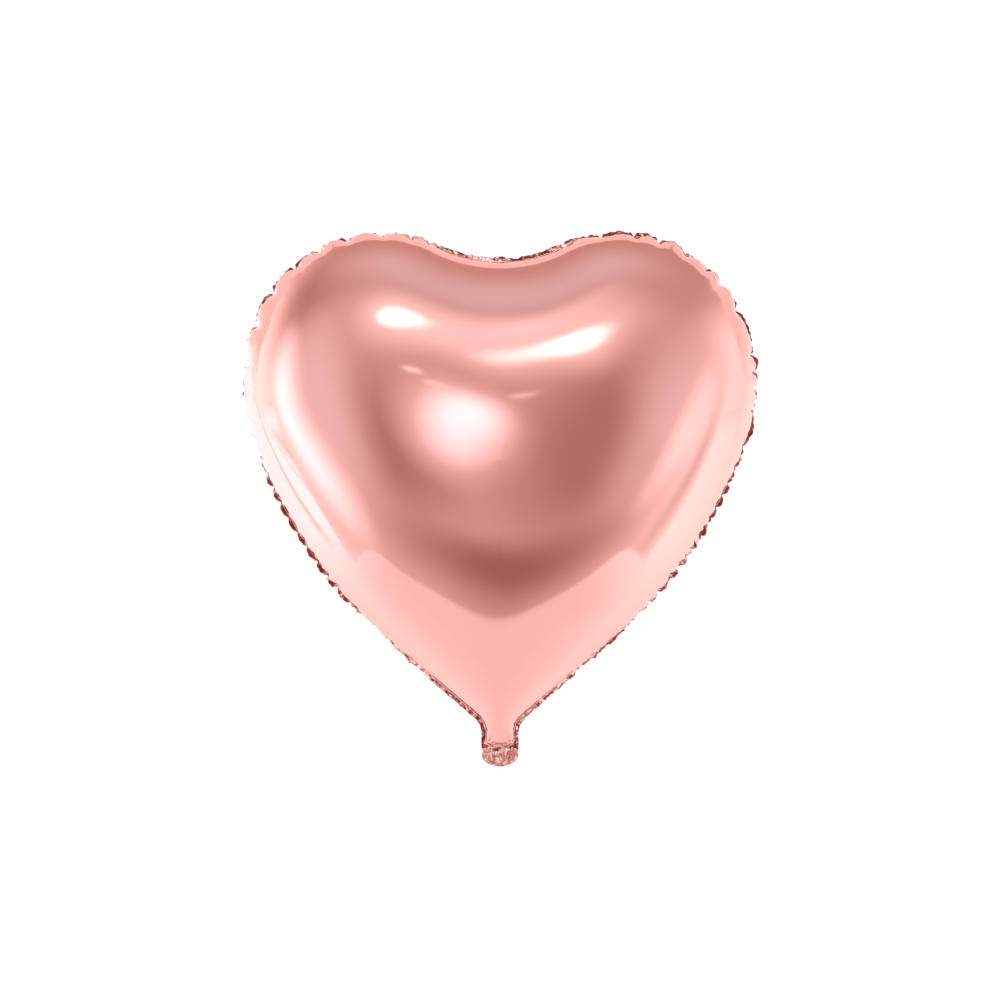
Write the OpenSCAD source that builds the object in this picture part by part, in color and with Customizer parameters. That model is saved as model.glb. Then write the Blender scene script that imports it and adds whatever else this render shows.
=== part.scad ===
// Heart-shaped foil balloon, inflated, with its flat self-sealing valve.
// Two heart-shaped foil panels are welded along a flat rim. The rim opens at the
// neck, where a flat valve of two thin films leads up into the balloon. Below a
// crease under the neck, the same two foils go on as a short rounded tail, which
// is the filling mouth.
// Origin: middle of the crease, where a ribbon is tied. +Z up, front towards -Y.

/* [Body] */
// Width across the two lobes, inflated
body_w = 516; // [420:1:620]
// Depth from front to back, inflated
body_d = 250; // [180:1:280]
// Width of the neck at the crease, welds included
neck_w = 37; // [36:0.5:42]
// Height of the neck's straight sides above the crease
neck_l = 17; // [12:0.5:20]
// Foil thickness
foil_t = 0.4; // [0.3:0.05:0.6]

/* [Rim weld] */
// Width of the flat welded rim
rim_w = 5; // [4:0.5:6]
// Thickness of the fused layer between the two foils
weld_t = 0.6; // [0.5:0.05:0.8]
// Foil left bare on each side of the weld band
weld_margin = 0.5; // [0.3:0.1:0.8]

/* [Valve] */
// Width of the flat valve
valve_w = 24; // [20:0.5:25]
// Thickness of each valve film
valve_film_t = 0.2; // [0.1:0.05:0.2]
// Height of the valve's two side welds
valve_sleeve_h = 60; // [40:1:90]
// Height of the free lips above the side welds
valve_lip_h = 22; // [14:1:30]
// Width of each side weld of the valve
valve_weld_w = 1.5; // [1:0.1:2]

/* [Tail] */
// Length of the tail below the crease
tail_l = 15.5; // [12:0.5:24]
// Clearance between the neck's lower edge and the rounded fold of the tail
fold_clearance = 0.6; // [0.5:0.1:1.5]

/* [Hidden] */

foil_colour = [0.86, 0.56, 0.53];
weld_colour = [0.72, 0.42, 0.40];
film_colour = [0.88, 0.90, 0.92];
ink_colour = [0.35, 0.55, 0.78];

// The arcs of the outline's right half, from the notch down to the flank. Each has a radius,
// a sweep in degrees, where a positive one turns left, and a number of steps.
rim_arcs = [
    [0.270 * body_w, 25, 5],     // hollow of the notch
    [0.267 * body_w, -90, 15],   // top of the lobe
    [0.338 * body_w, -45, 8],    // side of the lobe
    [0.948 * body_w, -29.5, 11], // flank
];
// After the arcs come a straight stretch, a fillet, the neck's straight side and its corner
flank_steps = 6;
fillet_r = 0.036 * body_w;
fillet_steps = 6;
neck_steps = 2;
corner_steps = 5;

// The tail's films bend round the crease with this outer radius, and the neck ends above it
fold_r = weld_t / 2 + foil_t;
neck_foot_z = fold_r + fold_clearance;

// The dome's rings close on a middle at this height, where they are round
middle_z = 0.56 * body_w;
round_r = 0.42 * body_w;
// Power with which the heart's outline fades into a circle towards the middle
outline_fade = 4;
// The neck, and this much above its straight sides, reaches beyond tip_r. It fades with a
// higher power, so it ends near the rim.
tip_margin = 10;
tip_r = middle_z - neck_foot_z - neck_l - tip_margin;
neck_fade = 25;
// Below this height the pouch grows thinner towards the neck
taper_z = 0.48 * body_w;
// Power of the inflated profile: depth = half_d * sqrt(1 - s^profile_p)
profile_p = 2.8;
half_d = body_d / 2 - weld_t / 2 - foil_t;
dome_rings = 12;

// The valve's side welds stay this far inside its edges
valve_weld_inset = 0.8;
// Free lips begin just above the sleeve, and have round upper corners
lip_gap = 0.5;
lip_corner_r = 4;
valve_half_gap = weld_t / 2 - valve_film_t;
ink_t = 0.05;
// Side margin and height of the ink patch, beyond the welds that it frees
ink_margin = 0.5;
ink_h = rim_w + 3;
// Width of the slit that stays between the two bent foils
mouth_gap = 0.1;
// The tail's sides are straight for this far, then they turn into half an ellipse
tail_straight = 3;
tail_steps = 24;

// A place on the outline is [x, z, heading]. This one is reached after turning at radius r.
function along(place, r, sweep) =
    let (side = sign(sweep), h = place[2] + sweep)
    [place[0] + side * r * (sin(h) - sin(place[2])),
     place[1] + side * r * (cos(place[2]) - cos(h)), h];

// Moving the outline inwards by d makes an arc that turns left larger, and one that turns right smaller
function inset_r(arc, d) = arc[0] + sign(arc[1]) * d;

function arc_start(i, d) = i == 0 ? [0, -d, 0]
    : along(arc_start(i - 1, d), inset_r(rim_arcs[i - 1], d), rim_arcs[i - 1][1]);

// The straight stretch is as long as it takes for the fillet to end at the neck's side
arcs_end = arc_start(len(rim_arcs), 0);
heading = arcs_end[2];
fillet_turn = -90 - heading;
flank_l = (arcs_end[0] - fillet_r * (1 + sin(heading)) - neck_w / 2) / -cos(heading);

function flank_point(d, share) = let (s = arc_start(len(rim_arcs), d))
    [s[0] + share * flank_l * cos(heading), s[1] + share * flank_l * sin(heading), heading];

function fillet_point(d, share) = along(flank_point(d, 1), fillet_r + d, fillet_turn * share);

// The neck's corner is nearly square at the crease, and round where the pouch begins
function corner_r(d) = min(0.6 + 2 * d, neck_l - d, 0.9 * (neck_w / 2 - d));

function corner_point(d, share) =
    let (r = corner_r(d), turn = 90 * share)
    [neck_w / 2 - d - r * (1 - cos(turn)), neck_foot_z + d + r * (1 - sin(turn))];

// Height of the notch's lowest point above the origin
notch_z = neck_foot_z + neck_l - fillet_point(0, 1)[1];

function raised(place) = [place[0], place[1] + notch_z];

// Right half of the outline moved inwards by d, from the notch to the middle of the crease
function half_outline(d) = concat(
    [for (i = [0 : len(rim_arcs) - 1], k = [0 : rim_arcs[i][2] - 1])
        let (arc = rim_arcs[i]) raised(along(arc_start(i, d), inset_r(arc, d), arc[1] * k / arc[2]))],
    [for (k = [0 : flank_steps - 1]) raised(flank_point(d, k / flank_steps))],
    [for (k = [0 : fillet_steps]) raised(fillet_point(d, k / fillet_steps))],
    [for (k = [0 : corner_steps]) corner_point(d, k / corner_steps)],
    [for (k = [1 : neck_steps]) [(neck_w / 2 - d - corner_r(d)) * (1 - k / neck_steps), neck_foot_z + d]]);

function mirrored(points) = [for (i = [len(points) - 2 : -1 : 1]) [-points[i][0], points[i][1]]];
function outline(d) = let (half = half_outline(d)) concat(half, mirrored(half));

// Ring s of the dome is the outline at s = 1, and grows rounder towards the middle
function ring(base, s) = [for (p = base)
    let (x = p[0], z = p[1] - middle_z, r = norm([x, z]),
         neck = z < 0 ? max(0, r - tip_r) : 0, keep = pow(s, outline_fade),
         reach = s * ((r - neck) * keep + round_r * (1 - keep) + neck * pow(s, neck_fade)))
    [x / r * reach, middle_z + z / r * reach]];

// How much of the full depth the pouch has at height z
function fullness(z) = z >= taper_z ? 1 : 1 - pow(1 - max(z, 0) / taper_z, 2);

// One ring of the dome's surface. turn goes from 0 at the rim to 90 in the middle, and the
// surface is moved inwards by inset, square to the profile.
function dome_ring(base, turn, inset) =
    let (steep = [half_d * cos(turn), round_r * sin(turn)], out = steep / norm(steep))
    [for (p = ring(base, pow(cos(turn), 2 / profile_p)))
        let (x = p[0], z = p[1] - middle_z, r = norm([x, z]), shrink = 1 - inset * out[0] / r)
        [x * shrink,
         inset * out[1] - weld_t / 2 - foil_t - half_d * sin(turn) * fullness(p[1]),
         middle_z + z * shrink]];

function flat_ring(points, depth) = [for (p = points) [p[0], -depth, p[1]]];

// Triangles between rings a and b, which have n points each
function strip(a, b, n) = [for (i = [0 : n - 1]) let (j = (i + 1) % n)
    each [[a * n + i, a * n + j, b * n + j], [a * n + i, b * n + j, b * n + i]]];

// One heart-shaped foil with its flat rim, as a thin shell that bulges towards -Y. Its outer
// rings run from the rim to the middle, and its inner ones back to the rim.
module panel() {
    turns = [for (k = [1 : dome_rings - 1]) 90 * k / dome_rings];
    rings = concat(
        [flat_ring(outline(0), weld_t / 2 + foil_t), flat_ring(outline(rim_w), weld_t / 2 + foil_t)],
        [for (turn = turns) dome_ring(outline(rim_w), turn, 0)],
        [for (k = [len(turns) - 1 : -1 : 0]) dome_ring(outline(rim_w), turns[k], foil_t)],
        [flat_ring(outline(rim_w + foil_t), weld_t / 2), flat_ring(outline(0), weld_t / 2)]);
    n = len(rings[0]);
    count = len(rings);
    half = count / 2;
    crown_y = weld_t / 2 + half_d;
    crowns = [[0, -crown_y - foil_t, middle_z], [0, -crown_y, middle_z]];
    faces = concat(
        [for (k = [0 : count - 1], face = k == half - 1 ? [] : strip(k, (k + 1) % count, n)) face],
        [for (i = [0 : n - 1]) let (j = (i + 1) % n)
            each [[(half - 1) * n + i, (half - 1) * n + j, count * n],
                  [half * n + j, half * n + i, count * n + 1]]]);
    polyhedron(concat([for (r = rings, p = r) p], crowns), faces);
}

// Stands a flat shape, drawn in X and Z, between depths y0 and y1
module standing(y0, y1) {
    translate([0, y1, 0]) rotate([90, 0, 0]) linear_extrude(y1 - y0) children();
}

module centred_strip(width, z0, height) {
    translate([-width / 2, z0]) square([width, height]);
}

module front_panel() {
    color(foil_colour) panel();
}

module back_panel() {
    color(foil_colour) mirror([0, 1, 0]) panel();
}

// The fused layer that joins the two foils along the rim. It leaves room for the valve at the neck.
module perimeter_weld() {
    color(weld_colour) standing(-weld_t / 2, weld_t / 2) difference() {
        polygon(outline(weld_margin));
        polygon(outline(rim_w - weld_margin));
        centred_strip(valve_w, 0, 2 * rim_w);
    }
}

// One valve film's lower stretch, from just above the crease to the top of the side welds
module valve_sleeve() {
    standing(valve_half_gap, weld_t / 2) centred_strip(valve_w, neck_foot_z, valve_sleeve_h);
}

module valve_film_front() {
    color(film_colour) mirror([0, 1, 0]) valve_sleeve();
}

module valve_film_back() {
    color(film_colour) valve_sleeve();
}

// One valve film's free lip
module valve_lip() {
    foot_z = neck_foot_z + valve_sleeve_h + lip_gap;
    corner = [valve_w / 2 - lip_corner_r, foot_z + valve_lip_h - lip_corner_r];
    standing(valve_half_gap, weld_t / 2) {
        centred_strip(valve_w, foot_z, valve_lip_h - lip_corner_r);
        centred_strip(valve_w - 2 * lip_corner_r, foot_z, valve_lip_h);
        for (side = [-1, 1]) translate([side * corner[0], corner[1]]) circle(lip_corner_r, $fn = 48);
    }
}

module valve_lip_front() {
    color(film_colour) mirror([0, 1, 0]) valve_lip();
}

module valve_lip_back() {
    color(film_colour) valve_lip();
}

// One of the two upright welds that make the valve's films a tube
module valve_weld(side) {
    color(film_colour) standing(-valve_half_gap, valve_half_gap)
        translate([side * (valve_w / 2 - valve_weld_inset - valve_weld_w / 2), 0])
            centred_strip(valve_weld_w, neck_foot_z, valve_sleeve_h);
}

module valve_weld_left() {
    valve_weld(-1);
}

module valve_weld_right() {
    valve_weld(1);
}

// Printed patch that keeps the two films apart while the rim is welded over the valve
module release_ink() {
    ink_w = valve_w - 2 * (valve_weld_inset + valve_weld_w + ink_margin);
    color(ink_colour) standing(valve_half_gap - ink_t, valve_half_gap)
        centred_strip(ink_w, neck_foot_z, ink_h);
}

// The tail's shape, d inside its edge
module tail_shape(d) {
    reach = [neck_w / 2 - d, tail_l - tail_straight - d];
    polygon(concat(
        [[reach[0], 0]],
        [for (k = [0 : tail_steps]) let (a = 180 * k / tail_steps)
            [reach[0] * cos(a), -tail_straight - reach[1] * sin(a)]],
        [[-reach[0], 0]]));
}

// One foil of the tail. Its top bends round the crease, and stops short of the other foil.
module tail_foil() {
    standing(weld_t / 2, fold_r) tail_shape(0);
    rotate([90, 0, 90]) linear_extrude(neck_w, center = true) intersection() {
        difference() {
            circle(fold_r, $fn = 64);
            circle(weld_t / 2, $fn = 64);
        }
        translate([mouth_gap / 2, 0]) square(fold_r);
    }
}

module tail_front() {
    color(foil_colour) mirror([0, 1, 0]) tail_foil();
}

module tail_back() {
    color(foil_colour) tail_foil();
}

// One side weld of the tail. The filling mouth is what stays open between the two.
module tail_weld(side) {
    color(weld_colour) standing(-weld_t / 2, weld_t / 2) intersection() {
        tail_shape(weld_margin);
        translate([side * (neck_w - rim_w) / 2, 0]) centred_strip(rim_w, -tail_l, tail_l);
    }
}

module tail_weld_left() {
    tail_weld(-1);
}

module tail_weld_right() {
    tail_weld(1);
}

front_panel();
back_panel();
perimeter_weld();
valve_film_front();
valve_film_back();
valve_weld_left();
valve_weld_right();
release_ink();
valve_lip_front();
valve_lip_back();
tail_front();
tail_back();
tail_weld_left();
tail_weld_right();
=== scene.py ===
"""A heart-shaped foil balloon: two metallised foils, their puckered rim weld, the valve and the tail."""
import math

import bpy
import numpy as np
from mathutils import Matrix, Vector


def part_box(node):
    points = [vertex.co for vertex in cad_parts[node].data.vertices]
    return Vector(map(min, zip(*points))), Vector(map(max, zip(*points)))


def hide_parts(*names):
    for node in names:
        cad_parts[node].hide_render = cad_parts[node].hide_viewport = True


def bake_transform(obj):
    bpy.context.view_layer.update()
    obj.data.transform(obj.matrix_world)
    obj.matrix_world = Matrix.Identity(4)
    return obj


MM = 0.001
FRONT, BACK = -1, 1

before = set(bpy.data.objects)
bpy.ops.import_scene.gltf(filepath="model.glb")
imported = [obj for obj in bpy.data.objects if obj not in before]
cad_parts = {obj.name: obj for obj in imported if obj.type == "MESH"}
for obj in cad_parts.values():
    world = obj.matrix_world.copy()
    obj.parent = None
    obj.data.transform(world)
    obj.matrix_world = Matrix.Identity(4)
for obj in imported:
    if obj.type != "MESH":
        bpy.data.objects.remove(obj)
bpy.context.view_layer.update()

# Driving sizes, from the frame
foil_low, foil_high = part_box("front_panel")
tail_low, tail_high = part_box("tail_front")
width = foil_high.x - foil_low.x
neck_w = tail_high.x - tail_low.x
neck_foot_z = foil_low.z
half_depth = -foil_low.y
tail_l = -tail_low.z

# The rim, as in the frame: the weld's width, the neck's sides and corners, and the fillet above them
rim_w = 5 * MM
neck_l = 17 * MM
neck_corner_r = 1.8 * MM
fillet_r = 0.036 * width
lobe_r = 0.267 * width
# From the notch on, each arc's radius and turn in degrees. A positive turn is to the left
rim_arcs = [
    (0.270 * width, 25),     # hollow of the notch
    (lobe_r, -90),           # top of the lobe
    (0.338 * width, -45),    # side of the lobe
    (0.948 * width, -29.5),  # flank
]
# Points along the rim: their spacing, and how many the neck's side, corner and half foot have
point_gap = 1.3 * MM
side_steps, corner_steps, foot_steps = 2, 12, 5

# The inflated pouch: its middle, how fast half its depth grows above the neck, how much of its depth
# it loses towards the sides, and how far each foil lies from the seam plane at the weld
middle_z = 0.56 * width
neck_slope = 0.62
side_fall = 0.25
foil_gap = 0.3 * MM

# Puckers along the seam: the shortest and the longest, and how high the lowest and the highest are
fine_l, wide_l = 8 * MM, 35 * MM
fine_h, wide_h = 0.8 * MM, 7.0 * MM
# The weld's scallops: their length, and between which heights it has them, with a fade at both ends
scallop_l = 17 * MM
flank_low, flank_high, flank_fade = 0.12, 0.305, 0.04


# ---------------------------------------------------------------- camera

def add_camera(distance=2.4, picture_w=1.0, aim_z=0.251):
    """Square in front of the balloon. picture_w is the width that the picture takes in at the rim."""
    data = bpy.data.cameras.new("camera")
    data.sensor_width = 36
    data.lens = data.sensor_width * distance / picture_w
    camera = bpy.data.objects.new("camera", data)
    camera.location = (0, -distance, aim_z)
    camera.rotation_euler = (math.radians(90), 0, 0)
    bpy.context.collection.objects.link(camera)
    bpy.context.scene.camera = camera


add_camera()


# ---------------------------------------------------------------- the rim's outline

def turned(place, radius, sweep):
    """The place [x, z, heading in degrees] after a turn. A positive sweep turns left."""
    side, start, end = np.sign(sweep), np.radians(place[2]), np.radians(place[2] + sweep)
    x = place[0] + side * radius * (np.sin(end) - np.sin(start))
    z = place[1] + side * radius * (np.cos(start) - np.cos(end))
    return np.stack([x, z, np.degrees(end)], axis=-1)


def steps_for(length):
    """How many steps of about point_gap a stretch of the rim has."""
    return max(2, round(length / point_gap))


def half_heart(inset):
    """Right half of the heart's rim moved inwards, from the notch to the top of the neck's side."""
    place = np.array([0, -inset, 0.0])
    points = []
    for radius, sweep in rim_arcs:
        inset_r = radius + np.sign(sweep) * inset
        count = steps_for(math.radians(abs(sweep)) * radius)
        points += [turned(place, inset_r, sweep * k / count)[:2] for k in range(count)]
        place = turned(place, inset_r, sweep)
    heading = math.radians(place[2])
    # Where the same arcs end on the outer edge, which sets the straight stretch's length
    edge_x = place[0] - inset * math.sin(heading)
    straight_l = (edge_x - fillet_r * (1 + math.sin(heading)) - neck_w / 2) / -math.cos(heading)
    count = steps_for(straight_l)
    direction = np.array([math.cos(heading), math.sin(heading)])
    points += [place[:2] + direction * straight_l * k / count for k in range(count)]
    place = np.array([*(place[:2] + direction * straight_l), place[2]])
    # The fillet, which ends straight downwards
    turn = -90 - place[2]
    count = steps_for(math.radians(turn) * fillet_r)
    points += [turned(place, fillet_r + inset, turn * k / count)[:2] for k in range(count)]
    place = turned(place, fillet_r + inset, turn)
    rise = neck_foot_z + neck_l - place[1]
    return [point + (0, rise) for point in points]


def half_neck(inset):
    """Right half of the neck's rim moved inwards: its side, its corner and its foot."""
    corner_r = neck_corner_r + inset
    side_x, foot_z = neck_w / 2 - inset, neck_foot_z + inset
    top_z = neck_foot_z + neck_l
    side_l = top_z - foot_z - corner_r
    points = [np.array([side_x, top_z - side_l * k / side_steps]) for k in range(side_steps)]
    for k in range(corner_steps):
        angle = math.pi / 2 * k / corner_steps
        x = side_x - corner_r * (1 - math.cos(angle))
        z = foot_z + corner_r * (1 - math.sin(angle))
        points.append(np.array([x, z]))
    foot_x = side_x - corner_r
    points += [np.array([foot_x * (1 - k / foot_steps), foot_z]) for k in range(foot_steps + 1)]
    return points


def rim(inset):
    """The whole rim, clockwise seen from the front, from the notch around and back to it."""
    half = np.array(half_heart(inset) + half_neck(inset))
    return np.concatenate([half, half[-2:0:-1] * (-1, 1)])


# ---------------------------------------------------------------- smooth noise and smoothing

def smoothed(values, widths):
    """Gaussian smoothing along each axis. The last axis is periodic, and the others are mirrored."""
    result = np.asarray(values, float)
    for axis, amount in enumerate(widths):
        if amount <= 0:
            continue
        n = result.shape[axis]
        periodic = axis == result.ndim - 1
        source = result if periodic else np.concatenate([result, np.flip(result, axis)], axis)
        frequency = np.fft.rfftfreq(source.shape[axis])
        shape = [1] * result.ndim
        shape[axis] = -1
        weight = np.exp(-2 * (math.pi * frequency * amount) ** 2).reshape(shape)
        source = np.fft.irfft(np.fft.rfft(source, axis=axis) * weight, source.shape[axis], axis=axis)
        result = np.take(source, range(n), axis)
    return result


def soft_noise(shape, widths, seed):
    """Seeded noise with unit spread whose bumps are about as wide as widths, in points."""
    noise = smoothed(np.random.default_rng(seed).standard_normal(shape), widths)
    return noise / noise.std()


def ripple(x, z, shortest, longest, seed):
    """Seeded smooth unevenness with unit spread over places x, z: a sum of plane waves."""
    waves = 12
    rng = np.random.default_rng(seed)
    total = np.zeros_like(x)
    for _ in range(waves):
        heading, start = rng.uniform(0, 2 * math.pi, 2)
        wave = 2 * math.pi / rng.uniform(shortest, longest)
        total += np.sin(wave * (x * math.cos(heading) + z * math.sin(heading)) + start)
    return total / math.sqrt(waves / 2)


# ---------------------------------------------------------------- the inflated pouch

# Rows of points from the seam to the middle, and across the weld
ROWS = 72
RIM_ROWS = 5
seam = rim(rim_w)
edge = rim(0)
seam_step = np.roll(seam, -1, axis=0) - seam
seam_gap = np.hypot(seam_step[:, 0], seam_step[:, 1])
seam_z = seam[:, 1]
seam_count = len(seam)


def points_in(length):
    """How many points of the seam a length takes."""
    return length / point_gap


def seam_noise(length, seed):
    """Seeded noise along the seam, with unit spread and bumps of about this length."""
    return soft_noise(seam_count, [points_in(length)], seed)


def rising(value, low, fade):
    """0 up to low, 1 from low + fade on, and straight between."""
    return np.clip((value - low) / fade, 0, 1)


def soft_distance(x, z):
    """Distance from points to the seam: exact beside a straight seam, and rounded off farther in."""
    along = seam_step / seam_gap[:, None]
    away_x = seam[:, 0] - x[:, None]
    away_z = seam[:, 1] - z[:, None]
    start = away_x * along[:, 0] + away_z * along[:, 1]
    off = np.abs(away_x * along[:, 1] - away_z * along[:, 0]) + 1e-6
    pull = (np.arctan2(start + seam_gap, off) - np.arctan2(start, off)) / off
    return math.pi / pull.sum(axis=1)


def cushion(share):
    """Depth of a full cushion where the soft distance is share of its greatest. 1 in the middle."""
    fullness = 1.4
    return np.sqrt(1 - (1 - np.clip(share, 0, 1)) ** fullness)


def pouch_depth(x, z):
    """Half the pouch's thickness. It tapers to the neck like a cone, and flattens to the sides."""
    samples, sharpness = 200, 6.0
    inwards = np.array([soft_distance(*row) for row in zip(x, z)])
    line_z = np.linspace(neck_foot_z + rim_w, seam_z[0], samples)[1:-1]
    line = soft_distance(np.zeros_like(line_z), line_z)
    cone = neck_slope * (line_z - neck_foot_z - rim_w)
    ratio = cone / (half_depth * cushion(line / line.max()))
    # The smaller of the cushion and the cone, rounded off where they cross
    taper = np.interp(z, line_z, (1 + ratio ** -sharpness) ** (-1 / sharpness))
    sides = 1 - side_fall * (2 * x / width) ** 2
    return half_depth * cushion(inwards / line.max()) * taper * sides


def base_surface():
    """The smooth pouch as [row, column] arrays of x, z and depth, and each point's way from the seam."""
    # Each column runs in to the middle line, and the columns at the neck end lower on it
    tip_z, rise = neck_foot_z + rim_w, 0.29 * width
    lowest_z = tip_z + 10 * MM
    share = rising(seam_z, tip_z, rise)
    target_z = lowest_z + (middle_z - lowest_z) * share * share * (3 - 2 * share)
    ray = seam - np.stack([np.zeros(seam_count), target_z], axis=-1)
    samples = 120
    shrink = np.cos(np.linspace(0, math.pi / 2, samples))[:, None] ** 0.7
    x = ray[:, 0] * shrink
    z = target_z + ray[:, 1] * shrink
    depth = pouch_depth(x, z)
    depth[0] = 0
    way = np.zeros_like(x)
    step = np.sqrt(np.diff(x, axis=0) ** 2 + np.diff(z, axis=0) ** 2 + np.diff(depth, axis=0) ** 2)
    way[1:] = np.cumsum(step, axis=0)
    # Rows lie closer together beside the seam
    crowding = 2.2
    grade = np.expm1(crowding * np.linspace(0, 1, ROWS)) / math.expm1(crowding)
    rows = grade[:, None] * way[-1]
    columns = [[np.interp(rows[:, i], way[:, i], source[:, i]) for i in range(seam_count)]
               for source in (x, z, depth)]
    return np.transpose(columns, (0, 2, 1)), rows


def grid_normals(points):
    """Unit normals of a [row, column, xyz] grid that is closed along its columns."""
    along = np.roll(points, -1, axis=1) - np.roll(points, 1, axis=1)
    across = np.gradient(points, axis=0)
    normal = np.cross(along, across)
    return normal / np.linalg.norm(normal, axis=-1, keepdims=True)


def puff(phase, softness):
    """Round bulges with creases between them, at each whole phase. Its mean is about 0."""
    power, middle = 0.3, 0.36
    return (np.sin(math.pi * phase) ** 2 + softness ** 2) ** power - (middle + softness ** 2) ** power


def rise_and_fade(q, top):
    """0 at the seam, 1 at q = top, and fading to 0 farther in."""
    return q / top * np.exp(1 - q / top)


def rim_puckers():
    """Along the seam: how convex it is (0 to 1), the puckers' length, and the phase that counts them."""
    heading = np.unwrap(np.arctan2(seam_step[:, 1], seam_step[:, 0]))
    turning = -(heading - np.roll(heading, 1))
    turning[0] += 2 * math.pi if turning[0] < -math.pi else 0
    turning[0] -= 2 * math.pi if turning[0] > math.pi else 0
    curvature = smoothed(turning / seam_gap, [points_in(22 * MM)])
    convex = np.clip(curvature * lobe_r, 0, 1) * (seam_z > 45 * MM)
    convex = smoothed(convex, [points_in(14 * MM)])
    pucker_l = fine_l + (wide_l - fine_l) * convex
    density = seam_gap / pucker_l * np.clip(1 + 0.35 * seam_noise(17 * MM, 3), 0.4, 2)
    phase = np.cumsum(density)
    # An even number of puckers, so that they close around the rim
    phase = phase * round(phase[-1] / 2) * 2 / phase[-1]
    return convex, pucker_l, phase


def mouth_opening(x, z):
    """How far a foil stands out to make room for the valve in the neck."""
    lift, half_w, height = 0.7 * MM, 13 * MM, 22 * MM
    return lift * np.exp(-(x / half_w) ** 6 - ((z - neck_foot_z) / height) ** 2)


def pucker_shape(side, q, phase):
    """How far the bulges stand out, q pucker lengths in from the seam: single ones, pairs and thirds."""
    near = 0.55 * np.exp(-(q / 0.55) ** 2) + 0.5 * rise_and_fade(q, 0.25)
    single = near * (puff(phase, 0.04 + 0.14 * q) + 0.3)
    pairs = 0.1 * rise_and_fade(q, 0.9) * puff((phase + (side > 0)) / 2, 0.3 + 0.3 * q)
    thirds = 0.16 * np.exp(-q / 0.5) * puff(3 * phase, 0.08 + 0.2 * q)
    return single + pairs + thirds


def crease_folds(way, pucker_l, phase):
    """About 1 in the sharp fold that each crease is beside the seam, and 0 off it. Their depth varies."""
    fold_w, fold_l = 1.2 * MM, 9 * MM
    off = np.abs(np.sin(math.pi * phase)) / math.pi * pucker_l
    strength = np.clip(0.8 + 0.5 * seam_noise(30 * MM, 15), 0, 1.4)
    return np.exp(-(off / fold_w) ** 2 - (way / fold_l) ** 2) * strength


def unevenness(side, x, z, way):
    """Long low waves all over the pouch, and gathers that fan out from the neck's crease."""
    waves = 0.2 * MM * ripple(x, z, 0.08, 0.2, 11 + side) * np.clip(way / (0.1 * width), 0, 1)
    gather = soft_noise((ROWS, seam_count), [12, points_in(3 * MM)], 31 + side)
    return waves + gather * 0.6 * MM * np.exp(-(z - neck_foot_z) / (9 * MM))


def puckered(side, base, convex, pucker_l, phase):
    """The pouch of one foil: its smooth shape, puffed up between creases that run in from the seam."""
    reach, fold_depth, wander_h = 0.3 * width, 2.2 * MM, 1.2 * MM
    (x, z, depth), way = base
    points = np.stack([x, side * depth, z], axis=-1)
    normal = grid_normals(points) * side
    q = way / pucker_l
    height = (fine_h + (wide_h - fine_h) * convex) * (1 + 0.3 * seam_noise(14 * MM, 5))
    lean = soft_noise((ROWS, seam_count), [12, points_in(24 * MM)], 21 + side)
    phase = phase + 0.1 * lean * np.clip(q, 0, 1.5)
    fade = np.clip(1 - way / reach, 0, 1) ** 2
    raised = height * pucker_shape(side, q, phase) * fade + unevenness(side, x, z, way)
    raised -= fold_depth * convex * crease_folds(way, pucker_l, phase)
    points += normal * raised[..., None]
    # The seam wanders to the front and the back, and takes the side walls along
    wander = convex * wander_h * np.sin(math.pi * phase[0] + 0.6 * seam_noise(12 * MM, 7))
    points[..., 1] += wander * np.exp(-(q / 0.8) ** 2) + side * mouth_opening(x, z)
    return points


def rim_lean(convex, over, under, flank, arc):
    """How far the weld leans to the back, in degrees. It sways, and is scalloped on the flanks."""
    most_forward, most_back = -35, 84
    sway = 12 * seam_noise(7 * MM, 8) + (9 + 19 * under) * seam_noise(45 * MM, 150)
    lean = 20 + (42 - 16 * over) * convex + 45 * under + sway
    beat = arc * math.pi / scallop_l + 0.7 * seam_noise(20 * MM, 16)
    scalloped = 76 - 52 * np.abs(np.sin(beat)) ** 0.8 + 0.35 * sway
    return np.clip(lean + (scalloped - lean) * flank, most_forward, most_back)


def rim_crinkle(above_neck, arc):
    """How far the crimped weld stands off its plane: each row's crinkle, and the bunching of them all."""
    beat = arc * 2 * math.pi / (6.5 * MM) + seam_noise(20 * MM, 14)
    bunching = 0.5 * MM * np.sin(beat) * above_neck
    crinkle = 0.4 * MM * soft_noise((RIM_ROWS, seam_count), [0.8, points_in(1.5 * MM)], 9)
    crinkle *= np.clip((edge[:, 1] - neck_foot_z) / (4 * MM), 0.2, 1)
    return crinkle, bunching


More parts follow.
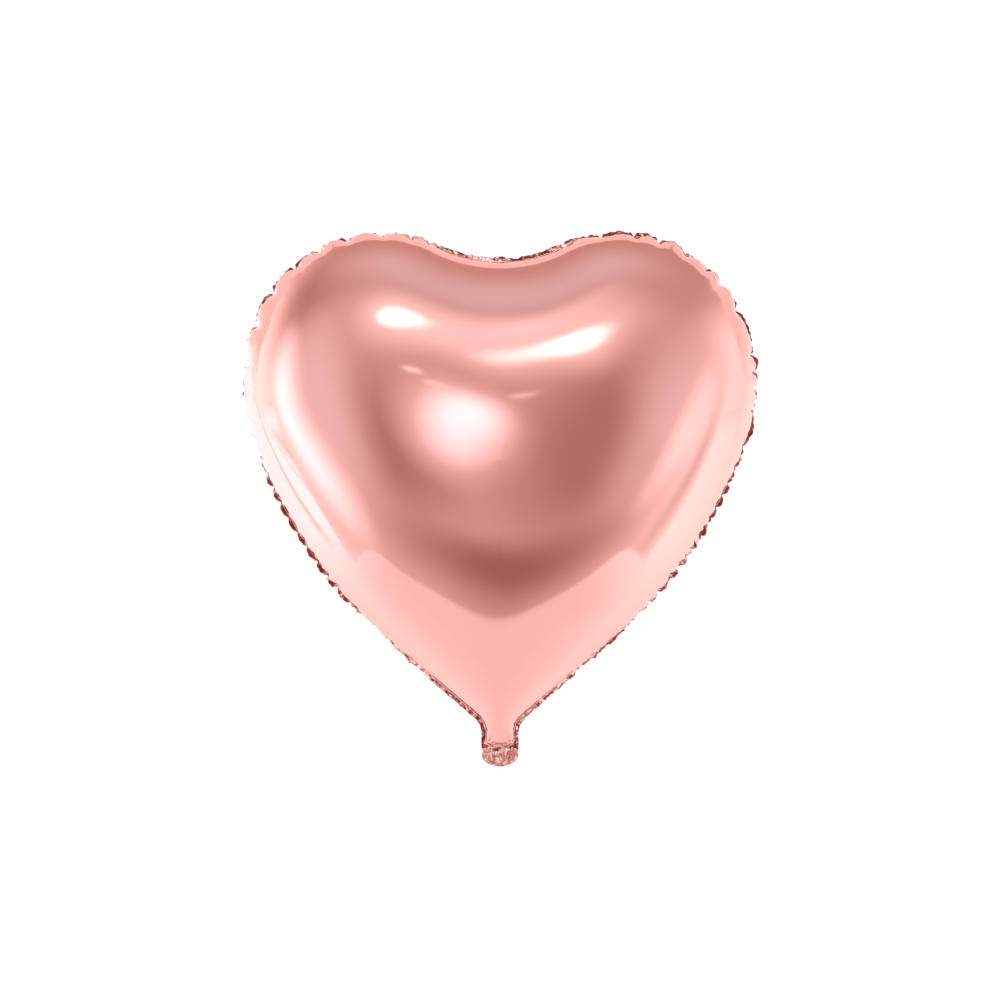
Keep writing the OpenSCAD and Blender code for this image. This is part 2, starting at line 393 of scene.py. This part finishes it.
def welded_rim(side, start, convex):
    """Rows of the weld from its outer edge in to start. It leans to the back, sways and is crinkled."""
    out = edge - seam
    reach = np.hypot(out[:, 0], out[:, 1])
    upwards = out[:, 1] / reach
    over = np.clip(1.5 * upwards - 0.5, 0, 1)
    under = np.clip(0.5 - 1.5 * upwards, 0, 1)
    above_neck = rising(seam_z, neck_l, 4 * neck_l)
    flank = under * rising(seam_z, flank_low, flank_fade) * rising(-seam_z, -flank_high, flank_fade)
    arc = np.cumsum(seam_gap)
    tilt = np.radians(rim_lean(convex, over, under, flank, arc)) * above_neck
    crinkle, bunching = rim_crinkle(above_neck, arc)
    ragged = 1 + (0.1 - 0.07 * flank) * seam_noise(2.4 * MM, 12) * above_neck
    rows = []
    for k, share in enumerate(np.linspace(1, 1 / RIM_ROWS, RIM_ROWS)):
        lift = (crinkle[k] + bunching) * min(1, 1.6 * share)
        outwards = share * np.cos(tilt) * ragged - lift / reach * np.sin(tilt)
        flat = start[:, [0, 2]] + out * outwards[:, None]
        y = start[:, 1] + reach * share * np.sin(tilt) + lift * np.cos(tilt)
        beside_valve = mouth_opening(*flat.T) > 0.2 * MM
        y = np.where(beside_valve, start[:, 1] + side * 0.3 * np.abs(crinkle[k]), y)
        rows.append(np.stack([flat[:, 0], y, flat[:, 1]], axis=-1))
    return rows


def foil_points(side, base):
    """One foil's pouch and welded rim, as a [row, column, xyz] grid from the rim's edge inwards."""
    convex, pucker_l, phase = rim_puckers()
    points = puckered(side, base, convex, pucker_l, phase)
    rows = welded_rim(side, points[0], convex)
    # The two foils meet at the rim's edge, and lie side by side inside it
    grid = np.concatenate([np.array(rows), points])
    grid[..., 1] += side * foil_gap
    return np.concatenate([rows[:1], grid])


def tail_points(side):
    """One foil's tail, as a [row, column, xyz] grid from the crease down to the mouth."""
    straight, overlap = 3 * MM, 1.6 * MM
    straight_rows, round_rows, columns = 6, 12, 31
    top_z = neck_foot_z + overlap
    # Straight sides, then a rounded end
    turn = np.radians(np.linspace(0, 84, round_rows))[1:]
    z_straight = np.linspace(top_z, -straight, straight_rows)
    z = np.concatenate([z_straight, -straight - (tail_l - straight) * np.sin(turn)])
    half = np.concatenate([np.full(straight_rows, neck_w / 2), neck_w / 2 * np.cos(turn)])
    u = np.linspace(-1, 1, columns)
    shape = (len(z), len(u))
    x = half[:, None] * u
    crumple = 0.45 * MM * soft_noise(shape, [0.9, 0.9], 41) + 0.7 * MM * soft_noise(shape, [2.5, 3], 42)
    # An upright crease, left of the middle
    crease_x, crease_w, crease_depth = -4.5 * MM, 5 * MM, 1.3 * MM
    crease = crease_depth * np.minimum(np.abs(x - crease_x) / crease_w, 1)
    ragged = 0.5 * MM * soft_noise(shape, [1, 0.8], 43) * np.exp(-(top_z - z)[:, None] / (2 * MM))
    inside = np.minimum(1, (half[:, None] - np.abs(x)) / (1.2 * MM))
    y = crumple - crease + side * foil_gap * (0.2 + inside) + side * 0.25 * MM
    # Flatter at the welded sides
    y = y * np.clip((1 - np.abs(u) ** 6) + 0.35, 0, 1)
    return np.stack([x, y, z[:, None] + ragged], axis=-1)


def pouch_faces(row_count, n):
    """Faces of a grid that is closed along its columns. Left and right share the last row's points,
    which lie on the middle line."""
    def index(r, c):
        return r * n + (min(c, n - c) if r == row_count - 1 else c)

    faces = []
    for r in range(row_count - 1):
        for c in range(n):
            d = (c + 1) % n
            quad = dict.fromkeys([index(r, c), index(r, d), index(r + 1, d), index(r + 1, c)])
            faces.append(tuple(quad))
    return faces


def sheet_faces(row_count, n, first):
    """Faces of an open grid whose points start at number first."""
    faces = []
    for r in range(row_count - 1):
        for c in range(n - 1):
            here = first + r * n + c
            below = here + n
            faces.append((here, below, below + 1, here + 1))
    return faces


def make_foil(name, side, base):
    """One foil in one piece: the pouch, its welded rim, and the tail below the crease."""
    pouch, tail = foil_points(side, base), tail_points(side)
    points = np.concatenate([pouch.reshape(-1, 3), tail.reshape(-1, 3)])
    faces = pouch_faces(*pouch.shape[:2])
    faces += sheet_faces(*tail.shape[:2], pouch[..., 0].size)
    if side == BACK:
        faces = [face[::-1] for face in faces]
    mesh = bpy.data.meshes.new(name)
    mesh.from_pydata(points.tolist(), [], faces)
    mesh.shade_smooth()
    # Finishes: the pouch's is 0, the crimped weld's 1 and the creased tail's 2
    rim_faces, tail_first = RIM_ROWS * pouch.shape[1], (pouch.shape[0] - 1) * pouch.shape[1]
    for k, polygon in enumerate(mesh.polygons):
        polygon.material_index = 1 if k < rim_faces else 2 if k >= tail_first else 0
    piece = bpy.data.objects.new(name, mesh)
    bpy.context.collection.objects.link(piece)
    return piece


pouch_base = base_surface()
front_foil = make_foil("front_foil", FRONT, pouch_base)
back_foil = make_foil("back_foil", BACK, pouch_base)
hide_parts("front_panel", "perimeter_weld", "tail_front", "tail_weld_left")
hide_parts("back_panel", "tail_back", "tail_weld_right")
for foil in (front_foil, back_foil):
    # Cut flat as a heart, 62 cm wide and 65 cm long with its tail. Inflating draws the outline in
    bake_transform(foil)


# ---------------------------------------------------------------- materials

def new_material(name, roughness, metallic=0.0):
    """A material with its node tree and its shader node."""
    material = bpy.data.materials.new(name)
    material.use_nodes = True
    shader = material.node_tree.nodes["Principled BSDF"]
    shader.inputs["Metallic"].default_value = metallic
    shader.inputs["Roughness"].default_value = roughness
    if metallic:
        # The film stays pink where it turns away
        shader.inputs["Specular Tint"].default_value = (1, 0.74, 0.71, 1)
    return material, material.node_tree, shader


def noise_node(tree, grain, detail=2.0):
    """Noise over the object's own space. grain is the size of its spots, in metres."""
    place = tree.nodes.new("ShaderNodeTexCoord").outputs["Object"]
    noise = tree.nodes.new("ShaderNodeTexNoise")
    tree.links.new(place, noise.inputs["Vector"])
    noise.inputs["Scale"].default_value = 1 / grain
    noise.inputs["Detail"].default_value = detail
    return noise.outputs["Fac"]


def bump_node(tree, shader, height, depth):
    """Gives the shader bumps of this depth, in metres."""
    bump = tree.nodes.new("ShaderNodeBump")
    bump.inputs["Strength"].default_value = 1.0
    bump.inputs["Distance"].default_value = depth
    tree.links.new(height, bump.inputs["Height"])
    tree.links.new(bump.outputs["Normal"], shader.inputs["Normal"])


def math_node(tree, operation, *inputs):
    """One math operation on sockets and plain numbers."""
    node = tree.nodes.new("ShaderNodeMath")
    node.operation = operation
    for k, value in enumerate(inputs):
        if isinstance(value, (int, float)):
            node.inputs[k].default_value = value
        else:
            tree.links.new(value, node.inputs[k])
    return node.outputs[0]


def dot_node(tree, vector, axis):
    """How far a vector reaches along an axis."""
    node = tree.nodes.new("ShaderNodeVectorMath")
    node.operation = "DOT_PRODUCT"
    tree.links.new(vector, node.inputs[0])
    node.inputs[1].default_value = axis
    return node.outputs["Value"]


def ramp_node(tree, value, low, high):
    """0 below low and 1 above high, smooth between."""
    node = tree.nodes.new("ShaderNodeMapRange")
    node.interpolation_type = "SMOOTHSTEP"
    tree.links.new(value, node.inputs["Value"])
    node.inputs["From Min"].default_value = low
    node.inputs["From Max"].default_value = high
    return node.outputs["Result"]


def mix_node(tree, share, low, high):
    """The colour low where share is 0, and high where it is 1. Each is a colour or a socket."""
    node = tree.nodes.new("ShaderNodeMix")
    node.data_type = "RGBA"
    sockets = [s for s in node.inputs if s.type == "RGBA"]
    tree.links.new(share, node.inputs["Factor"])
    for socket, value in zip(sockets, (low, high)):
        if isinstance(value, tuple):
            socket.default_value = value
        else:
            tree.links.new(value, socket)
    return next(s for s in node.outputs if s.type == "RGBA")


def foil_material():
    """Rose gold metallised film: a mirror with a faint haze that varies over it."""
    material, tree, shader = new_material("rose_gold_foil", 0.09, 1.0)
    haze = noise_node(tree, 60 * MM)
    colour = mix_node(tree, haze, (0.91, 0.455, 0.415, 1), (0.93, 0.475, 0.435, 1))
    tree.links.new(colour, shader.inputs["Base Color"])
    roughness = tree.nodes.new("ShaderNodeMapRange")
    roughness.inputs["To Min"].default_value = 0.06
    roughness.inputs["To Max"].default_value = 0.12
    tree.links.new(haze, roughness.inputs["Value"])
    tree.links.new(roughness.outputs["Result"], shader.inputs["Roughness"])
    return material


def crimped_material():
    """The same film where a heat seal has crimped it: small bumped facets, with painted reflection in its
    colour, dark and bright facets, more of them dark on the flanks.
    """
    material, tree, shader = new_material("crimped_foil", 0.13, 1.0)
    painted_facet_reflections = math_node(tree, "ADD", noise_node(tree, 4 * MM), noise_node(tree, 70 * MM, 1.0))
    # Painted reflection: more of the facets are painted dark on the flanks
    flank_painted_dark_share = 0.17
    height = dot_node(tree, tree.nodes.new("ShaderNodeTexCoord").outputs["Object"], (0, 0, 1))
    above, below = ramp_node(tree, height, 0.13, 0.18), ramp_node(tree, height, 0.30, 0.255)
    flank = math_node(tree, "MULTIPLY", above, below)
    painted_facet_reflections = math_node(tree, "SUBTRACT", painted_facet_reflections, math_node(tree, "MULTIPLY", flank, flank_painted_dark_share))
    share = ramp_node(tree, painted_facet_reflections, 0.88, 1.12)
    # Painted reflection: the crimp's facets are painted dark or bright in the film's colour
    colour = mix_node(tree, share, (0.26, 0.05, 0.04, 1), (0.94, 0.58, 0.53, 1))
    tree.links.new(colour, shader.inputs["Base Color"])
    bump_node(tree, shader, noise_node(tree, 3 * MM), 0.3 * MM)
    return material


def creased_material():
    """The same film on the tail, creased all over, with darker patches painted into its colour as painted
    shade of the creases.
    """
    material, tree, shader = new_material("creased_foil", 0.14, 1.0)
    # Painted shade: darker patches in the colour stand in for the shade of the tail's creases
    share = ramp_node(tree, noise_node(tree, 5 * MM), 0.35, 0.6)
    colour = mix_node(tree, share, (0.62, 0.25, 0.22, 1), (0.94, 0.55, 0.50, 1))
    tree.links.new(colour, shader.inputs["Base Color"])
    bump_node(tree, shader, noise_node(tree, 2 * MM), 0.2 * MM)
    return material


def film_material():
    """Clear polyethylene, slightly milky."""
    material, tree, shader = new_material("clear_film", 0.22)
    colour = mix_node(tree, noise_node(tree, 6 * MM), (0.86, 0.88, 0.89, 1), (0.95, 0.95, 0.95, 1))
    tree.links.new(colour, shader.inputs["Base Color"])
    shader.inputs["Transmission Weight"].default_value = 0.85
    bump_node(tree, shader, noise_node(tree, 9 * MM, 1.0), 0.4 * MM)
    return material


def ink_material():
    """Heat-proof release coat, printed as a thin mottled patch."""
    material, tree, shader = new_material("release_coat", 0.6)
    colour = mix_node(tree, noise_node(tree, 0.8 * MM), (0.50, 0.55, 0.62, 1), (0.68, 0.72, 0.77, 1))
    tree.links.new(colour, shader.inputs["Base Color"])
    return material


foil_finishes = [foil_material(), crimped_material(), creased_material()]
for piece in (front_foil, back_foil):
    for finish in foil_finishes:
        piece.data.materials.append(finish)
film, ink = film_material(), ink_material()
for name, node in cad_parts.items():
    if not node.hide_render:
        node.data.materials.clear()
        node.data.materials.append(ink if name == "release_ink" else film)


# ---------------------------------------------------------------- studio

def tone(brightness):
    """A neutral grey or white."""
    return (brightness, brightness, brightness, 1)


def cool(brightness):
    """Daylight, a little blue."""
    return (brightness, 1.02 * brightness, 1.1 * brightness, 1)


def warm(brightness):
    """A dim tone, the warmer the darker it is."""
    return (brightness, brightness ** 1.6, brightness ** 1.75, 1)


def sweep_profile(front, back, bend, height):
    """The sweep seen from the side, as places y and z above the floor: flat, then bent up, then upright."""
    angles = np.linspace(0.1, math.pi / 2, 12)
    curve = [(back - bend + bend * math.sin(a), bend - bend * math.cos(a)) for a in angles]
    return [(front, 0.0), (back - bend, 0.0), *curve, (back, height)]


def table_outline(front, back, half_w, corner_r):
    """The table seen from above, as places x and y, with rounded front corners."""
    side_x, corner_y = half_w - corner_r, front + corner_r
    angles = np.linspace(0, math.pi / 2, 9)
    corner = [(side_x + corner_r * math.cos(a), corner_y - corner_r * math.sin(a)) for a in angles]
    right = [(half_w, back), *corner]
    return right + [(-x, y) for x, y in right[::-1]]


def add_sweep(front=-0.04, back=2.5, floor_z=-0.25, height=3.1, half_w=6.0, bend=1.1):
    """A pale paper sweep: a table, the floor, and the wall that it curves up into behind the balloon."""
    profile = sweep_profile(front, back, bend, height)
    points = [(x, y, z + floor_z) for y, z in profile for x in (-half_w, half_w)]
    faces = [(2 * k, 2 * k + 1, 2 * k + 3, 2 * k + 2) for k in range(len(profile) - 1)]
    outline = table_outline(front=-0.305, back=front, half_w=0.66, corner_r=0.13)
    faces += [tuple(range(len(points), len(points) + len(outline)))]
    points += [(x, y, floor_z) for x, y in outline]
    mesh = bpy.data.meshes.new("floor")
    mesh.from_pydata(points, [], faces)
    mesh.shade_smooth()
    sweep = bpy.data.objects.new("floor", mesh)
    bpy.context.collection.objects.link(sweep)
    mesh.materials.append(paper_material())


def paper_painted_light(tree, place):
    """The paper's tones are painted light and shade: painted lightest on the left, as if lit most there,
    and painted darker high up and far back.
    """
    left, right = dot_node(tree, place, (-1, 0, 0)), dot_node(tree, place, (1, 0, 0))
    back, up = dot_node(tree, place, (0, 1, 0)), dot_node(tree, place, (0, 0, 1))
    # Painted light: the paper's brightness changes with place, standing in for uneven light
    colour = mix_node(tree, ramp_node(tree, back, -0.25, 0.2), tone(0.46), tone(0.6))
    colour = mix_node(tree, ramp_node(tree, back, 0.9, 2.2), colour, tone(0.45))
    colour = mix_node(tree, ramp_node(tree, left, 0.4, 1.1), colour, cool(0.84))
    colour = mix_node(tree, ramp_node(tree, left, 1.1, 1.9), colour, cool(0.87))
    colour = mix_node(tree, ramp_node(tree, left, 2.4, 5.2), colour, tone(0.75))
    colour = mix_node(tree, ramp_node(tree, right, 0.3, 0.9), colour, tone(0.7))
    colour = mix_node(tree, ramp_node(tree, right, 1.9, 5.2), colour, tone(0.58))
    return mix_node(tree, ramp_node(tree, up, 0.5, 1.9), colour, tone(0.43))


def painted_paper_edge(tree, place, colour):
    """Paints the paper's left edge as two thin darker lines, painted shade where an edge would be, and
    paints what is outside them darker.
    """
    left, right = dot_node(tree, place, (-1, 0, 0)), dot_node(tree, place, (1, 0, 0))
    # How far out to the left of a slanting line along the floor and up the wall
    outwards = dot_node(tree, place, (-0.44, -0.9, 0.8))
    beside = ramp_node(tree, left, 0.75, 1.0)
    # Painted shade: two thin darker lines stand in for an edge of the paper
    for line_at, line_w, shade in ((0.05, 0.07, 0.55), (0.40, 0.035, 0.6)):
        off = math_node(tree, "ABSOLUTE", math_node(tree, "SUBTRACT", outwards, line_at))
        on_line = ramp_node(tree, math_node(tree, "SUBTRACT", line_w, off), 0.0, 0.6 * line_w)
        colour = mix_node(tree, math_node(tree, "MULTIPLY", on_line, beside), colour, tone(shade))
    near = ramp_node(tree, right, -3.4, -1.6)
    outside = math_node(tree, "MULTIPLY", ramp_node(tree, outwards, 0.44, 0.6), beside)
    outside = math_node(tree, "MULTIPLY", outside, near)
    return mix_node(tree, outside, colour, tone(0.48))


def paper_material():
    """Pale paper, with painted light and shade, and a painted edge on the left."""
    material, tree, shader = new_material("paper_sweep", 0.9)
    place = tree.nodes.new("ShaderNodeTexCoord").outputs["Object"]
    colour = painted_paper_edge(tree, place, paper_painted_light(tree, place))
    tree.links.new(colour, shader.inputs["Base Color"])
    return material


def direction(azimuth, elevation):
    """Unit vector. Azimuth 0 is towards the camera, and 90 is to the right of the picture."""
    a, e = math.radians(azimuth), math.radians(elevation)
    return Vector((math.sin(a) * math.cos(e), -math.cos(a) * math.cos(e), math.sin(e)))


def soft_panel(tree, way, azimuth, elevation, panel_w, panel_h, roll=0, edge_w=0.6):
    """How bright a soft light panel is, seen in the direction way. Its sizes are in degrees."""
    centre = direction(azimuth, elevation)
    right = direction(azimuth + 90, 0)
    up = centre.cross(right)
    turn = math.radians(roll)
    side_axis = right * math.cos(turn) + up * math.sin(turn)
    up_axis = up * math.cos(turn) - right * math.sin(turn)
    half_w, half_h = math.sin(math.radians(panel_w / 2)), math.sin(math.radians(panel_h / 2))
    a = math_node(tree, "DIVIDE", dot_node(tree, way, side_axis), half_w)
    b = math_node(tree, "DIVIDE", dot_node(tree, way, up_axis), half_h)
    squared = math_node(tree, "ADD", math_node(tree, "MULTIPLY", a, a), math_node(tree, "MULTIPLY", b, b))
    radius = math_node(tree, "SQRT", squared)
    inside = ramp_node(tree, math_node(tree, "MULTIPLY", radius, -1.0), -1 - edge_w, -1 + edge_w)
    facing = ramp_node(tree, dot_node(tree, way, centre), 0.0, 0.3)
    return math_node(tree, "MULTIPLY", inside, facing)


def room_colour(tree):
    """The room that the foil reflects: dim and warm, with soft light panels."""
    way = tree.nodes.new("ShaderNodeTexCoord").outputs["Generated"]
    up, back = dot_node(tree, way, (0, 0, 1)), dot_node(tree, way, (0, 1, 0))
    # Bright at the sides and behind, and a mid tone in front and overhead
    room = mix_node(tree, ramp_node(tree, back, -0.65, 0.3), warm(0.72), tone(1.35))
    room = mix_node(tree, ramp_node(tree, up, 0.25, 0.65), room, warm(0.66))

    def add(azimuth, elevation, wide, tall, colour, roll=0, edge=0.6):
        nonlocal room
        patch = soft_panel(tree, way, azimuth, elevation, wide, tall, roll, edge)
        room = mix_node(tree, patch, room, colour)

    # A soft light overhead
    add(0, 86, 44, 44, tone(0.8), edge=0.9)
    # Dark corners of the room
    add(-97, 33, 46, 34, warm(0.52), edge=0.9)
    add(-31, -8, 34, 34, warm(0.52), edge=0.8)
    add(22, -6, 34, 46, warm(0.5), edge=0.7)
    add(3, -46, 56, 20, warm(0.40), edge=0.8)
    # Tall windows at the sides
    add(-74, -8, 24, 46, cool(2.25), roll=16, edge=0.6)
    add(-125, 0, 60, 60, tone(1.8), edge=0.7)
    add(60, -4, 40, 40, tone(0.9), edge=0.8)
    add(-56, 0, 30, 50, tone(0.95), edge=0.8)
    add(88, -12, 40, 36, tone(1.45), edge=0.8)
    add(67, -11, 13, 28, tone(1.45), roll=-25, edge=0.8)
    add(83, -24, 9, 44, tone(0.9), roll=-4, edge=0.9)
    # Panels overhead, and the lamps round the camera
    add(-2, 42, 56, 30, tone(1.0), edge=0.9)
    add(-14, 44, 36, 18, tone(1.25), roll=48, edge=0.9)
    add(-16.5, 43, 19, 8.5, tone(3.0), roll=48, edge=0.4)
    add(12, 32, 22, 26, tone(1.2), roll=17, edge=0.9)
    add(11.5, 31.5, 17, 12.5, tone(3.0), roll=17, edge=0.55)
    add(-10, 2, 22, 20, tone(1.05), edge=0.9)
    add(-7, 2, 15, 12, cool(2.08), edge=0.8)
    add(-18, 15, 5, 2, tone(1.5), edge=0.3)
    add(-13, 11, 5, 2, tone(1.3), edge=0.3)
    add(5, 10, 4, 1.6, tone(1.2), edge=0.3)
    return room


def add_surroundings():
    """White to the camera and as light on the sweep, and the room where something glossy reflects it."""
    world = bpy.data.worlds.new("studio")
    world.use_nodes = True
    world.cycles.sampling_method = "NONE"
    tree = world.node_tree
    glossy = tree.nodes.new("ShaderNodeLightPath").outputs["Is Glossy Ray"]
    colour = mix_node(tree, glossy, tone(2.6), room_colour(tree))
    tree.links.new(colour, tree.nodes["Background"].inputs["Color"])
    bpy.context.scene.world = world


add_sweep()
add_surroundings()
bpy.context.scene.view_settings.view_transform = "Standard"

bpy.context.view_layer.update()
